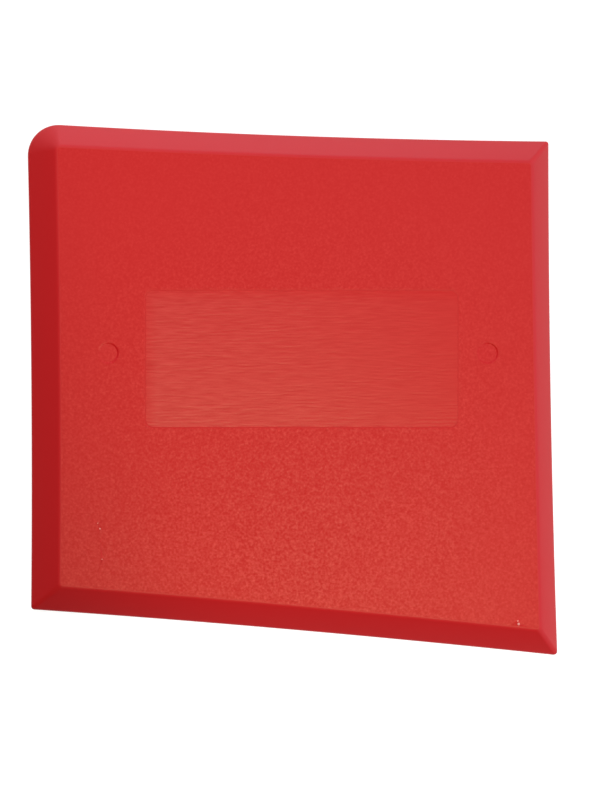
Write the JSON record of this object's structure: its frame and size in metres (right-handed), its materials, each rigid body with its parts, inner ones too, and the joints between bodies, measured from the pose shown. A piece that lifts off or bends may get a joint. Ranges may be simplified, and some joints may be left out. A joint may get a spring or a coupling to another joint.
{
  "type": "squeegee applicator card",
  "caption": "Flat moulded plastic card with bevelled working edges, a rounded corner and a sunken panel, for smoothing down vinyl film and application tape.",
  "frame": {"origin": "centre of the card's outline box, on the plane of its flat back", "axes": "+Z out of the face, through the thickness; +Y towards the top edge as pictured; +X towards the right edge"},
  "size_m": [0.1016, 0.1016, 0.0045],
  "materials": {
    "card": "red moulded plastic, fine spark-eroded grain on the face, satin bevels"
  },
  "bodies": {
    "root": {"applicator_card": "card"}
  },
  "joints": []
}
